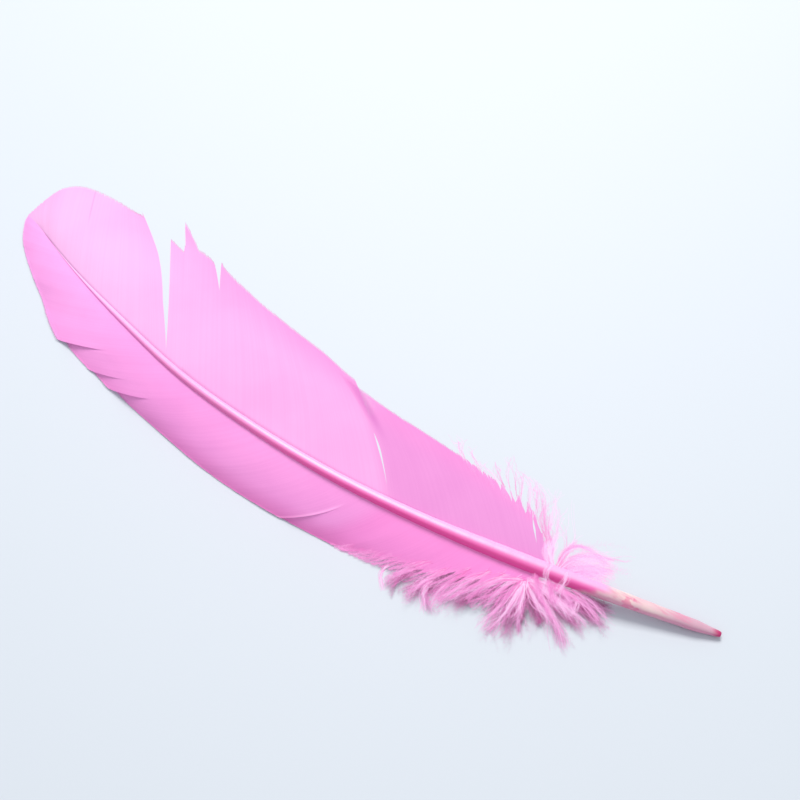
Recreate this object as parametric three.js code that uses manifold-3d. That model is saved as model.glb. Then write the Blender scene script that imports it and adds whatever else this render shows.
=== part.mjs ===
// A goose quill feather, dyed pink, lying on a flat surface with its upper side up.
// Millimetres, +Z up. +X runs from the bare quill end to the tip, and +Y is the narrow vane's side.
// The whole feather grew as one piece, so it is one closed body: a tapered shaft, two vanes
// with their splits, and locks of down at the base of the vanes, all joined.

import * as THREE from "three";
import { mergeVertices } from "three/addons/utils/BufferGeometryUtils.js";
import Module from "manifold-3d";

const wasm = await Module();
wasm.setup();

// ---------------------------------------------------------------- driving dimensions

// The shaft, at stations this far apart along X: side offset, height of its middle, diameter.
const STATION = 33;
const SHAFT = [
  [0.4, 1.25, 3.4],
  [9.4, 4.7, 4.7],
  [17.8, 8.0, 5.3],
  [24.7, 11.0, 4.2],
  [28.9, 12.8, 3.7],
  [29.5, 13.2, 3.2],
  [27.0, 12.3, 2.7],
  [20.1, 9.4, 2.0],
  [11.2, 5.6, 1.2],
  [-0.6, 1.2, 0.8],
];
const SHAFT_SIDES = 12;
const SHAFT_RINGS = 36;
const QUILL_START = -1.2;
const QUILL_TAPER = 9; // the quill thins over this length, towards its end,
const QUILL_END_SHARE = 0.62; // to this share of its thickness,
const QUILL_END_ROUND = 1.2; // and closes over this length

// A vane is a sheet of barbs. Each row is one barb: where it leaves the shaft (X), and where it
// ends (X, Y, Z) if the vane were whole.
const INNER_BARBS = [
  [55, 61, 6.5, 6.5],
  [57.5, 71, -2.0, 5.2],
  [64, 84, -3.6, 5.0],
  [74, 100, -4.9, 5.0],
  [86, 118, -5.8, 5.0],
  [98, 135, -6.5, 5.0],
  [111, 151, -8.9, 5.0],
  [122, 166, -12.4, 5.0],
  [136, 180, -14.1, 5.0],
  [151, 196, -16.5, 5.0],
  [168, 211, -19.7, 4.6],
  [187, 228, -23.2, 4.2],
  [206.5, 250, -23.6, 3.5],
  [226, 264, -23.8, 3.0],
  [247, 276, -24.2, 2.4],
  [266, 288, -22.5, 2.0],
  [279, 295, -17.6, 1.6],
  [286, 297.4, -9.0, 1.0],
  [288.5, 298, -0.9, 0.7],
];
const OUTER_BARBS = [
  [56, 66, 38.0, 0.3],
  [65, 78, 41.7, 0.3],
  [75, 91, 43.0, 0.3],
  [87, 105, 43.6, 0.3],
  [100, 120, 45.2, 0.3],
  [125, 148, 47.6, 0.3],
  [145, 173, 47.4, 0.3],
  [166, 199, 44.2, 0.3],
  [190, 226, 40.2, 0.3],
  [216, 253, 34.6, 0.3],
  [237, 269, 25.2, 0.3],
  [255, 281, 18.0, 0.3],
  [272, 291, 10.2, 0.4],
  [284, 296.2, 2.6, 0.5],
  [288.5, 298, -0.3, 0.7],
];
const VANE_THICK = 0.6;
// The angle between shaft and barb where they meet, in degrees, by shaft X.
const LEAVING_ANGLE = [[60, 60], [150, 57], [206, 41], [262, 36], [284, 30], [288.5, 4]];
const BARB_STRAIGHT = 0.45; // the share of a barb's length that its first direction governs
const INNER_CAMBER = 1.6; // how far a vane bulges up, halfway out
const OUTER_CAMBER = 1.2;
const OUTER_LYING = 0.15; // the share of the narrow vane that lies flat on the surface

// Where barbs have come apart. at: the shaft X of the barbs that part; from: how far out the
// split starts, 0 at the shaft to 1 at the edge; tipSide and quillSide: how far the two new
// corners moved (X, Y, Z); reach: how far along the shaft the pull is felt.
const SPLIT_FLARE = 1.25; // 1 opens a split like a straight wedge, more keeps it narrow for longer
const INNER_SPLITS = [
  { at: 110.8, from: 0.06, tipSide: [1.3, 0, 0], quillSide: [-1.5, 0, 0], reach: 8 },
  { at: 110.8, from: 0.45, tipSide: [-1.2, -0.9, 0.3], quillSide: [0.9, 1.0, -0.2], reach: 7 },
  { at: 180.5, from: 0.78, tipSide: [0.8, 1.8, 0], quillSide: [-0.3, -1.0, 0.4], reach: 3 },
  { at: 206.5, from: 0.05, tipSide: [5.4, 0, 0], quillSide: [-5.0, 1.2, 0], reach: 13 },
  { at: 206.5, from: 0.62, tipSide: [3.8, 0, 0], quillSide: [-0.6, 0.4, 0], reach: 13 },
];
const OUTER_SPLITS = [
  { at: 186, from: 0.5, tipSide: [1.6, 0.5, 0.9], quillSide: [-0.4, -1.2, 0], reach: 5 },
  { at: 212, from: 0.45, tipSide: [2.2, 0.5, 1.0], quillSide: [-0.6, -1.4, 0], reach: 5 },
];
// Broken or frayed barbs: shaft X, and how much of the barb is left.
const INNER_TRIM = [
  [55, 0.6], [56.2, 0.9], [58, 1], [192, 1], [198, 1.15], [198.8, 0.92], [206.5, 0.98], [208, 1],
];
const OUTER_TRIM = [
  [56, 0.7], [60, 0.95], [64, 0.78], [69, 1], [74, 0.84], [79, 1], [84, 0.9], [89, 1],
];
const COLUMN_STEP = 6.5; // spacing of the sheet's columns along the shaft
const INNER_ROWS = 9;
const OUTER_ROWS = 7;

// Tufts of down. side: +1 on the narrow vane's side, -1 on the broad one's; roots: the stretch
// of shaft they grow from; bearing: degrees from +X towards that side, for the first and the last
// lock; length: shortest and longest; ends: height of the lowest and highest lock's end.
const TUFTS = [
  { side: 1, locks: 17, roots: [80, 48], bearing: [62, 148], length: [19, 26], ends: [0.8, 1.6] },
  { side: 1, locks: 8, roots: [66, 42], bearing: [80, 168], length: [12, 18], ends: [3.0, 8.0] },
  { side: -1, locks: 11, roots: [56, 41], bearing: [98, 158], length: [13, 20], ends: [3.0, 9.0] },
  { side: -1, locks: 8, roots: [66, 50], bearing: [58, 92], length: [19, 27], ends: [4.0, 8.0] },
];
const LOCK_WIDTH = 3.2;
const LOCK_THICK = 1.0;
const LOCK_RINGS = 5;
const LOCK_ARCH = 3.0; // how far a lock rises above the straight line to its end
const SMALLEST_DETAIL = 0.02; // slivers thinner than this, left where pieces join, are dropped

// ---------------------------------------------------------------- curves

// Passes a smooth curve (uniform Catmull-Rom) through rows of numbers; w counts rows.
function through(rows, w) {
  const last = rows.length - 1;
  const i = Math.min(Math.max(Math.floor(w), 0), last - 1);
  const f = w - i;
  const mirror = (a, b) => a.map((value, k) => 2 * value - b[k]);
  const before = i > 0 ? rows[i - 1] : mirror(rows[0], rows[1]);
  const after = i < last - 1 ? rows[i + 2] : mirror(rows[last], rows[last - 1]);
  return rows[i].map((b, k) => {
    const [a, c, d] = [before[k], rows[i + 1][k], after[k]];
    const bend = 2 * a - 5 * b + 4 * c - d;
    const twist = -a + 3 * b - 3 * c + d;
    return b + 0.5 * f * (c - a + f * (bend + f * twist));
  });
}

// Straight lines between rows of [x, value], held level beyond both ends.
function between(rows, x) {
  if (x <= rows[0][0]) return rows[0][1];
  for (let i = 1; i < rows.length; i++) {
    const [x0, v0] = rows[i - 1];
    const [x1, v1] = rows[i];
    if (x <= x1) return v0 + ((v1 - v0) * (x - x0)) / (x1 - x0);
  }
  return rows[rows.length - 1][1];
}

// The shaft's middle and diameter at a given X.
function shaftAt(x) {
  const [y, z, diameter] = through(SHAFT, x / STATION);
  return { middle: new THREE.Vector3(x, y, z), diameter };
}

function shaftDirection(x) {
  return shaftAt(x + 1).middle.sub(shaftAt(x - 1).middle).normalize();
}

// ---------------------------------------------------------------- closed bodies

// A closed body from a list of points and a list of triangles of their numbers.
function solid(points, faces) {
  const plain = new THREE.BufferGeometry();
  plain.setAttribute("position", new THREE.Float32BufferAttribute(points.flatMap((p) => p.toArray()), 3));
  plain.setIndex(faces.flat());
  const merged = mergeVertices(plain, 1e-5);
  return new wasm.Manifold(
    new wasm.Mesh({
      numProp: 3,
      vertProperties: merged.attributes.position.array,
      triVerts: new Uint32Array(merged.index.array),
    }),
  );
}

// A closed tube through rings of equally many points, each ring counter-clockwise seen from ahead.
function loft(rings) {
  const n = rings[0].length;
  const points = rings.flat();
  const faces = [];
  for (let i = 0; i + 1 < rings.length; i++) {
    for (let j = 0; j < n; j++) {
      const a = i * n + j;
      const b = i * n + ((j + 1) % n);
      faces.push([a, b, b + n], [a, b + n, a + n]);
    }
  }
  const endCap = (ring, offset, flip) => {
    const centre = points.length;
    points.push(ring.reduce((sum, p) => sum.add(p), new THREE.Vector3()).divideScalar(n));
    for (let j = 0; j < n; j++) {
      const [a, b] = [offset + j, offset + ((j + 1) % n)];
      faces.push(flip ? [centre, b, a] : [centre, a, b]);
    }
  };
  endCap(rings[0], 0, true);
  endCap(rings[rings.length - 1], (rings.length - 1) * n, false);
  return solid(points, faces);
}

// A ring of points around a middle, wide and high, square to a direction.
function ringAt(middle, direction, wide, high, sides) {
  const across = new THREE.Vector3(0, 0, 1).cross(direction).normalize();
  const up = direction.clone().cross(across);
  return Array.from({ length: sides }, (_, j) => {
    const angle = (2 * Math.PI * j) / sides;
    const side = across.clone().multiplyScalar((wide / 2) * Math.cos(angle));
    return middle.clone().add(side).addScaledVector(up, (high / 2) * Math.sin(angle));
  });
}

// ---------------------------------------------------------------- the shaft

function buildShaft() {
  const length = STATION * (SHAFT.length - 1) - QUILL_START;
  const stations = [0, 0.25, 0.6, 1].map((share) => share * QUILL_END_ROUND);
  for (let i = 1; i <= SHAFT_RINGS; i++) {
    stations.push(QUILL_END_ROUND + ((length - QUILL_END_ROUND) * i) / SHAFT_RINGS);
  }
  const rings = stations.map((fromEnd) => {
    const x = QUILL_START + fromEnd;
    const { middle, diameter } = shaftAt(x);
    const closing = Math.min(fromEnd / QUILL_END_ROUND, 1);
    const taper = THREE.MathUtils.lerp(QUILL_END_SHARE, 1, THREE.MathUtils.smoothstep(fromEnd, 0, QUILL_TAPER));
    const round = diameter * taper * (0.35 + 0.65 * Math.sqrt(1 - (1 - closing) ** 2));
    return ringAt(middle, shaftDirection(x), round, round, SHAFT_SIDES);
  });
  return loft(rings);
}

// ---------------------------------------------------------------- the vanes

// A point on the vane: the barb that leaves the shaft at x, a share t of the way out.
function barbPoint(vane, x, t, splitSide) {
  const rows = vane.barbs;
  let i = 0;
  while (i < rows.length - 2 && rows[i + 1][0] < x) i++;
  const row = i + (x - rows[i][0]) / (rows[i + 1][0] - rows[i][0]);
  const end = new THREE.Vector3(...through(rows, row).slice(1));
  const { middle: root, diameter } = shaftAt(x);
  root.y += vane.side * 0.25 * diameter;
  const reach = end.distanceTo(root);
  const leaving = shaftDirection(x).setZ(0).normalize();
  const angle = THREE.MathUtils.degToRad(between(LEAVING_ANGLE, x));
  leaving.applyAxisAngle(new THREE.Vector3(0, 0, 1), vane.side * angle);
  const control = root.clone().addScaledVector(leaving, BARB_STRAIGHT * reach);
  const out = t * between(splitSide > 0 ? [[x, 1]] : vane.trim, x);
  const point = root.clone().multiplyScalar((1 - out) ** 2);
  point.addScaledVector(control, 2 * out * (1 - out)).addScaledVector(end, out ** 2);
  const fallen = Math.min(out / (1 - vane.lying), 1);
  point.z = root.z + (end.z - root.z) * fallen + vane.camber * 4 * fallen * (1 - fallen);
  point.z = Math.max(point.z, VANE_THICK / 2);
  for (const split of vane.splits) {
    const tipwards = splitSide === 0 || x !== split.at ? x > split.at : splitSide > 0;
    const opened = Math.max(0, (out - split.from) / (1 - split.from)) ** SPLIT_FLARE;
    const felt = Math.exp(-Math.abs(x - split.at) / split.reach);
    const move = new THREE.Vector3(...(tipwards ? split.tipSide : split.quillSide));
    point.addScaledVector(move, opened * felt);
  }
  return point;
}

// The vane as a sheet of constant thickness. Columns follow the barbs and rows run along the
// shaft. A column where barbs have parted has two copies of every point past the split's start.
function buildVane(vane) {
  const first = vane.barbs[0][0];
  const last = vane.barbs[vane.barbs.length - 1][0];
  const count = Math.round((last - first) / COLUMN_STEP);
  const xs = Array.from({ length: count + 1 }, (_, i) => first + ((last - first) * i) / count);
  const marks = [...vane.splits.map((split) => split.at), ...vane.trim.map((row) => row[0])];
  const kept = xs.filter((x, i) => i === 0 || i === count || marks.every((m) => Math.abs(m - x) > 1.2));
  const columns = [...new Set([...kept, ...marks])].sort((a, b) => a - b);
  const middles = [];
  const addPoint = (x, t, splitSide) => middles.push(barbPoint(vane, x, t, splitSide)) - 1;
  const grid = columns.map((x) => {
    const split = vane.splits.find((s) => s.at === x);
    const left = [];
    const right = [];
    for (let r = 0; r <= vane.rows; r++) {
      const t = r / vane.rows;
      left.push(addPoint(x, t, -1));
      right.push(split && t > split.from ? addPoint(x, t, 1) : left[r]);
    }
    return { left, right };
  });
  const top = [];
  for (let c = 0; c + 1 < grid.length; c++) {
    for (let r = 0; r < vane.rows; r++) {
      const [a, b] = [grid[c].right[r], grid[c + 1].left[r]];
      const [d, e] = [grid[c].right[r + 1], grid[c + 1].left[r + 1]];
      top.push([a, b, e], [a, e, d]);
    }
  }
  if (vane.side < 0) top.forEach((face) => face.reverse());
  const half = new THREE.Vector3(0, 0, VANE_THICK / 2);
  const points = [...middles.map((p) => p.clone().add(half)), ...middles.map((p) => p.clone().sub(half))];
  const under = middles.length;
  const edges = new Map();
  for (const [a, b, c] of top) {
    for (const [from, to] of [[a, b], [b, c], [c, a]]) {
      if (!edges.delete(`${to},${from}`)) edges.set(`${from},${to}`, [from, to]);
    }
  }
  const walls = [...edges.values()].flatMap(([from, to]) => [
    [from, from + under, to + under],
    [from, to + under, to],
  ]);
  const bottom = top.map(([a, b, c]) => [a + under, c + under, b + under]);
  return solid(points, [...top, ...bottom, ...walls]);
}

const innerVane = {
  side: -1,
  barbs: INNER_BARBS,
  splits: INNER_SPLITS,
  trim: INNER_TRIM,
  camber: INNER_CAMBER,
  lying: 0,
  rows: INNER_ROWS,
};
const outerVane = {
  side: 1,
  barbs: OUTER_BARBS,
  splits: OUTER_SPLITS,
  trim: OUTER_TRIM,
  camber: OUTER_CAMBER,
  lying: OUTER_LYING,
  rows: OUTER_ROWS,
};

// ---------------------------------------------------------------- the down

// One lock: a flat tapering strand from inside the shaft, up and over to its end.
function buildLock(root, end, bend) {
  const middle = root.clone().lerp(end, 0.5);
  const across = end.clone().sub(root).setZ(0).normalize().applyAxisAngle(new THREE.Vector3(0, 0, 1), Math.PI / 2);
  middle.addScaledVector(across, bend).setZ(Math.max(root.z, end.z) + LOCK_ARCH);
  const path = new THREE.QuadraticBezierCurve3(root, middle, end);
  const rings = [];
  for (let i = 0; i <= LOCK_RINGS; i++) {
    const t = i / LOCK_RINGS;
    const taper = 1 - 0.85 * t ** 2;
    rings.push(ringAt(path.getPoint(t), path.getTangent(t), LOCK_WIDTH * taper, LOCK_THICK * taper, 4));
  }
  return loft(rings);
}

// The locks of one tuft, fanned out and of uneven length.
function buildTuft({ side, locks, roots, bearing, length, ends }) {
  return Array.from({ length: locks }, (_, i) => {
    const share = i / (locks - 1);
    const uneven = (1 + Math.sin(7.3 * i + 2 * side)) / 2;
    const root = shaftAt(THREE.MathUtils.lerp(...roots, share)).middle;
    const heading = side * THREE.MathUtils.degToRad(THREE.MathUtils.lerp(...bearing, share));
    const reach = THREE.MathUtils.lerp(...length, uneven);
    const end = new THREE.Vector3(Math.cos(heading), Math.sin(heading), 0).multiplyScalar(reach).add(root);
    end.z = THREE.MathUtils.lerp(...ends, (1 + Math.cos(5.1 * i)) / 2);
    return buildLock(root, end, 3 * Math.sin(4.7 * i));
  });
}

// ---------------------------------------------------------------- the feather

const pieces = [buildShaft(), buildVane(innerVane), buildVane(outerVane), ...TUFTS.flatMap(buildTuft)];
const joined = pieces.reduce((whole, piece) => whole.add(piece)).simplify(SMALLEST_DETAIL).getMesh();
const geometry = new THREE.BufferGeometry();
geometry.setAttribute("position", new THREE.Float32BufferAttribute(joined.vertProperties, 3));
geometry.setIndex(new THREE.Uint32BufferAttribute(joined.triVerts, 1));

// The origin is under the middle of the feather, on the surface that it lies on.
geometry.computeBoundingBox();
const middle = geometry.boundingBox.getCenter(new THREE.Vector3());
geometry.translate(-middle.x, -middle.y, -geometry.boundingBox.min.z);
geometry.computeVertexNormals();

const dyedFeather = new THREE.MeshStandardMaterial({ color: 0xf79fe0, roughness: 0.75, metalness: 0 });
const feather = new THREE.Mesh(geometry, dyedFeather);
feather.name = "feather";

const group = new THREE.Group();
group.add(feather);
export default group;
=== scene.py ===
# %% [markdown]
# # A goose quill feather
# This is a wing feather of a goose, dyed pink and lying with its upper side up. It has a bare
# quill, a springy shaft, two vanes of barbs that hook together, and loose down where the vanes
# begin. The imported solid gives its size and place. The shaft and the vanes are worked out with
# numpy from nearly the same measurements as the solid, with finer splits. The down, which the
# solid only has as flat locks, has measurements of its own.
#
# The order is: camera, small tools, materials, shaft, vanes, down, floor and light.

import bpy
import numpy as np
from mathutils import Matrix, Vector


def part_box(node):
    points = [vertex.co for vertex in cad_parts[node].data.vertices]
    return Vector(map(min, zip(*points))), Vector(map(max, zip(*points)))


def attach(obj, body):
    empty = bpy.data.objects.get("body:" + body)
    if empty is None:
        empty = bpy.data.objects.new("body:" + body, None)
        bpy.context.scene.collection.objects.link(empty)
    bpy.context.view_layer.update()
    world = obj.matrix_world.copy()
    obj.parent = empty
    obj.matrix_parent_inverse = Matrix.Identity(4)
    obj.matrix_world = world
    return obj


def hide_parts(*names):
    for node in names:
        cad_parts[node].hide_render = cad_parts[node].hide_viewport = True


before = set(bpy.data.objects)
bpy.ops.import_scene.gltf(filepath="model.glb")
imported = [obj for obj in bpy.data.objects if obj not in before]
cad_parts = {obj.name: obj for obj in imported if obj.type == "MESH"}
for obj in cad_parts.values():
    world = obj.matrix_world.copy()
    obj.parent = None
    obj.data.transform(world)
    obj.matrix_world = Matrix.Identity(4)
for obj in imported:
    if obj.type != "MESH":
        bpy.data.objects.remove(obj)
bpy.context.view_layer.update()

MM = 0.001
low_corner, high_corner = (np.array(corner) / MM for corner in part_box("feather"))
print("solid feather, mm:", (high_corner - low_corner).round(1))

# %% [markdown]
# The feather is measured from the end of its quill, in millimetres: X along the feather, Y
# towards the narrow vane, Z up. The solid's origin is under its middle instead. Two edges of the
# solid are known in both, its quill end and the rim of its narrow vane, and give the shift.

# %% From the feather's measurements to the frame
QUILL_END_X = -1.30
NARROW_RIM_Y = 47.85
SHIFT = np.array([low_corner[0] - QUILL_END_X, high_corner[1] - NARROW_RIM_Y, 0.0])
rng = np.random.default_rng(7)
print("shift, mm:", SHIFT.round(2))

# %% [markdown]
# The camera comes first, because what follows is judged through it. It looks down on the
# feather from the side of the narrow vane, with a long lens that keeps the shape undistorted.

# %% Camera
TARGET = np.array([131.6, -11.0, 6.0]) + SHIFT
CAMERA_DISTANCE = 466.7
CAMERA_BEARING = np.radians(214.5)
CAMERA_HEIGHT = np.radians(60.0)

away = np.array([np.sin(CAMERA_BEARING), -np.cos(CAMERA_BEARING), np.tan(CAMERA_HEIGHT)])
away *= np.cos(CAMERA_HEIGHT)
camera_data = bpy.data.cameras.new("camera")
camera_data.lens = 60.0
camera_data.sensor_width = 36.0
camera = bpy.data.objects.new("camera", camera_data)
camera.location = (TARGET + CAMERA_DISTANCE * away) * MM
camera.rotation_euler = Vector(-away).to_track_quat("-Z", "Y").to_euler()
bpy.context.scene.collection.objects.link(camera)
bpy.context.scene.camera = camera
print("camera at, m:", np.array(camera.location).round(3))

# %% [markdown]
# Two small tools shape everything. A smooth curve runs through rows of measurements, so that
# a long form needs only a few of them. A ramp fades one thing into another.

# %% Smooth curves and ramps
def through(rows, w):
    """Catmull-Rom curve: between rows i and i+1, with f the share of the way, the value is
    b + f/2 * (c-a + f * (2a-5b+4c-d + f * (3b-a-3c+d))), where a, b, c, d are four rows in turn."""
    rows = np.asarray(rows, float)
    padded = np.vstack([2 * rows[0] - rows[1], rows, 2 * rows[-1] - rows[-2]])
    w = np.asarray(w, float)
    i = np.clip(np.floor(w).astype(int), 0, len(rows) - 2)
    f = (w - i)[..., None]
    a, b, c, d = (padded[i + k] for k in range(4))
    return b + 0.5 * f * (c - a + f * (2 * a - 5 * b + 4 * c - d + f * (3 * b - a - 3 * c + d)))


def ramp(start, end, value):
    """0 before start, 1 past end, and 3s^2 - 2s^3 between, with s the share of the way."""
    s = np.clip((np.asarray(value, float) - start) / (end - start), 0, 1)
    return s * s * (3 - 2 * s)


def unit(vectors):
    """Each vector divided by its length."""
    return vectors / np.maximum(np.linalg.norm(vectors, axis=-1, keepdims=True), 1e-9)


print("halfway from 0 to 1, ramp gives", float(ramp(0, 1, 0.5)))

# %% [markdown]
# One function turns arrays of points and faces into a Blender piece that rides on the packed
# body. Filling the mesh with foreach_set takes whole arrays at once, which is what makes a piece
# of 190,000 triangles quick to build.
#
# A feather lets much of the light through, and its fluff is lit from all sides at once. Light
# that really passes through thousands of strands is slow to work out and comes out grainy. So
# two plain settings stand in for it. A sheer piece casts no shadow, and light that has bounced
# off the floor or another piece passes through it. A lifted piece is shaded as if its strands
# faced part of the way up, so that they don't turn grey where they face each other. Neither
# changes a shape.

# %% From arrays to a piece
def make_piece(name, points, faces, material, values=None, hard=None, sheer=False, lift=0.0):
    """points: one row each, in the feather's millimetres. faces: arrays of point numbers, one
    row a face, counter-clockwise from outside. values: attribute name to one number a point.
    hard: line number of each point, -1 for none; edges along one line are left unsmoothed.
    sheer: this piece casts no shadow, and bounced light passes through it.
    lift: the share of the way from each shading direction to straight up that it is turned."""
    mesh = bpy.data.meshes.new(name)
    corners = np.concatenate([f.ravel() for f in faces]).astype(np.int32)
    sizes = np.concatenate([np.full(len(f), f.shape[1]) for f in faces])
    mesh.vertices.add(len(points))
    mesh.vertices.foreach_set("co", ((points + SHIFT) * MM).astype(np.float32).ravel())
    mesh.loops.add(len(corners))
    mesh.loops.foreach_set("vertex_index", corners)
    mesh.polygons.add(len(sizes))
    mesh.polygons.foreach_set("loop_start", (np.cumsum(sizes) - sizes).astype(np.int32))
    mesh.polygons.foreach_set("use_smooth", np.ones(len(sizes), bool))
    mesh.update(calc_edges=True)
    for key, numbers in (values or {}).items():
        layer = mesh.attributes.new(key, "FLOAT", "POINT")
        layer.data.foreach_set("value", np.asarray(numbers, np.float32).ravel())
    if hard is not None:
        ends = np.empty(2 * len(mesh.edges), np.int32)
        mesh.edges.foreach_get("vertices", ends)
        line = hard[ends.reshape(-1, 2)]
        mesh.attributes.new("sharp_edge", "BOOLEAN", "EDGE")
        sharp = (line[:, 0] == line[:, 1]) & (line[:, 0] >= 0)
        mesh.attributes["sharp_edge"].data.foreach_set("value", sharp)
    if lift:
        normals = np.empty(3 * len(corners), np.float32)
        mesh.corner_normals.foreach_get("vector", normals)
        mesh.normals_split_custom_set(unit((1 - lift) * normals.reshape(-1, 3) + [0, 0, lift]))
    mesh.materials.append(material)
    piece = bpy.data.objects.new(name, mesh)
    piece.visible_shadow = piece.visible_diffuse = not sheer
    bpy.context.scene.collection.objects.link(piece)
    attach(piece, "root")
    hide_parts("feather")
    print(name, "triangles:", int((sizes - 2).sum()))
    return piece


# %% [markdown]
# ## Materials
# Feather is keratin, the stuff of horn and nails, and this one is dyed. Three recipes make its
# finishes: one for the vanes, one for the shaft and one for the down. Each is a short chain of
# nodes, so a few helpers that add one node each keep the recipes readable. Numbers that are the
# same everywhere sit directly on the shader.

# %% Helpers for node materials
def linear(red, green, blue):
    """A screen colour from 0 to 255 as the linear colour that Blender works in."""
    c = np.array([red, green, blue]) / 255
    return (*np.where(c <= 0.04045, c / 12.92, ((c + 0.055) / 1.055) ** 2.4), 1.0)


class Recipe:
    """A material being put together: its node tree, and short ways to add to it."""

    def __init__(self, name, roughness, **constants):
        self.material = bpy.data.materials.new(name)
        self.material.use_nodes = True
        self.nodes = self.material.node_tree.nodes
        self.links = self.material.node_tree.links
        self.shader = self.nodes["Principled BSDF"]
        self.shader.inputs["Roughness"].default_value = roughness
        for socket, value in constants.items():
            self.shader.inputs[socket.replace("_", " ")].default_value = value

    def add(self, kind, inputs=None, **settings):
        """A node of this kind. Each input is linked if it is a socket, and set if it is a value."""
        node = self.nodes.new(kind)
        for key, value in settings.items():
            setattr(node, key, value)
        for key, value in (inputs or {}).items():
            if isinstance(value, bpy.types.NodeSocket):
                self.links.new(value, node.inputs[key])
            else:
                node.inputs[key].default_value = value
        return node

    def number(self, name):
        """A number that the piece carries at each point."""
        return self.add("ShaderNodeAttribute", attribute_name=name).outputs["Fac"]

    def place(self, scale, rotation=(0, 0, 0)):
        """Object coordinates in metres, scaled and turned. A scale under 1 stretches a pattern."""
        coordinates = self.add("ShaderNodeTexCoord").outputs["Object"]
        inputs = {"Vector": coordinates, "Scale": scale, "Rotation": rotation}
        return self.add("ShaderNodeMapping", inputs).outputs["Vector"]

    def noise(self, vector, scale, detail=3.0):
        """Soft noise around 0.5, with about scale swells a metre."""
        inputs = {"Vector": vector, "Scale": scale, "Detail": detail}
        return self.add("ShaderNodeTexNoise", inputs).outputs["Fac"]

    def fade(self, value, start, end, low=0.0, high=1.0):
        """Goes smoothly from low to high while value goes from start to end."""
        inputs = {0: value, 1: start, 2: end, 3: low, 4: high}
        return self.add("ShaderNodeMapRange", inputs, interpolation_type="SMOOTHSTEP").outputs[0]

    def math(self, operation, first, second):
        """One step of arithmetic on two numbers."""
        return self.add("ShaderNodeMath", {0: first, 1: second}, operation=operation).outputs[0]

    def mix(self, factor, first, second, blend="MIX"):
        """The first colour at factor 0. At 1 it is the second, or the two multiplied if blend says so."""
        node = self.add("ShaderNodeMix", data_type="RGBA", blend_type=blend)
        for socket, value in ((node.inputs[0], factor), (node.inputs[6], first), (node.inputs[7], second)):
            if isinstance(value, bpy.types.NodeSocket):
                self.links.new(value, socket)
            else:
                socket.default_value = value
        return node.outputs[2]

    def finish(self, colour, bump=None, strength=0.2, depth=0.0001):
        """Gives the shader its colour, and a bump of this depth in metres if there is one."""
        self.links.new(colour, self.shader.inputs["Base Color"])
        if bump is not None:
            inputs = {"Strength": strength, "Distance": depth, "Height": bump}
            normal = self.add("ShaderNodeBump", inputs).outputs["Normal"]
            self.links.new(normal, self.shader.inputs["Normal"])
        print("material", self.material.name)
        return self.material


# %% [markdown]
# A vane takes the dye in fine streaks, because each barb drinks a little more or less than the
# next. A painted picture could show that, but it would blur from near by. So the colour is
# worked out instead: from a number that each barb carries, from how far along the feather and
# how far out on its barb a point is, from the folds, and from broad soft clouds. The deeper rim
# is painted shade, where the vane turns down at its edge, and the folds are painted shade or,
# below 0, a painted highlight.

# %% Vane material
BASE_ENDS = (0.360, 0.388)  # the deeper base of the vanes gives way here, as a share of the shaft


def vane_material(name, quillwards, middle, tipwards, rim):
    """Colour runs along the feather from quillwards over middle to tipwards, and to rim at the
    barbs' ends, a deeper colour that is painted shade where the vane turns down. Each barb is a
    little lighter or deeper than the next, and a fold is painted shade where fold is 1 and a
    painted highlight where it is -1. The shade has green squared, so deeper is also pinker."""
    recipe = Recipe(name, 0.7, Sheen_Weight=0.12, Sheen_Roughness=0.4, Specular_IOR_Level=0.25)
    outward, along, tint, fold = (recipe.number(key) for key in ("outward", "along", "tint", "fold"))
    colour = recipe.mix(recipe.fade(along, *BASE_ENDS), quillwards, middle)
    colour = recipe.mix(recipe.fade(along, 0.55, 0.9), colour, tipwards)
    # Painted shade at the rim, strongest towards the quill.
    painted_rim_shade_fades = recipe.fade(along, 0.3, 0.8, 1.0, 0.1)
    colour = recipe.mix(recipe.math("MULTIPLY", recipe.fade(outward, 0.55, 1.0), painted_rim_shade_fades), colour, rim)
    each_barb = recipe.fade(tint, 0.0, 1.0, 0.99, 1.01)
    # Painted shade in the folds, and a painted highlight where fold is below 0.
    painted_crease_shade = recipe.fade(fold, -1.0, 1.0, 1.2, 0.8)
    cloud = recipe.fade(recipe.noise(recipe.place((1, 1, 1)), 32.0), 0.3, 0.7, 0.975, 1.02)
    strength = recipe.math("MULTIPLY", recipe.math("MULTIPLY", each_barb, painted_crease_shade), cloud)
    strong = recipe.math("POWER", strength, 2.0)
    tone_and_painted_shade = recipe.add("ShaderNodeCombineColor", {0: strength, 1: strong, 2: strength}).outputs[0]
    colour = recipe.mix(1.0, colour, tone_and_painted_shade, "MULTIPLY")
    grain = recipe.noise(recipe.place((1, 1, 1)), 2600.0, 2.0)
    return recipe.finish(colour, grain, 0.15, 0.00005)


broad_vane_dye_and_painted_shade = vane_material(
    "broad_vane_dye_and_painted_shade", quillwards=linear(219, 139, 202), middle=linear(233, 160, 215),
    tipwards=linear(235, 175, 223), rim=linear(226, 138, 203),
)
# The narrow vane takes the same dye as the broad one. Its colours are painted lighter, painted light
# against the shade of its slope away from the lamp.
narrow_vane_dye_and_painted_light = vane_material(
    "narrow_vane_dye_and_painted_light", quillwards=linear(246, 142, 215), middle=linear(244, 153, 221),
    tipwards=linear(242, 162, 226), rim=linear(236, 128, 200),
)

# %% [markdown]
# The shaft is smooth horn. It is deepest below and palest on its ridge: partly dye settled into
# the groove where the barbs join, and partly painted shade below and a painted highlight along
# the ridge, turned towards the lamp's side. The bare quill took the dye less evenly. It is cream,
# with veins, specks and one ragged stain, and its end drank the most. Its underside is pinker,
# partly painted shade.

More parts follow.
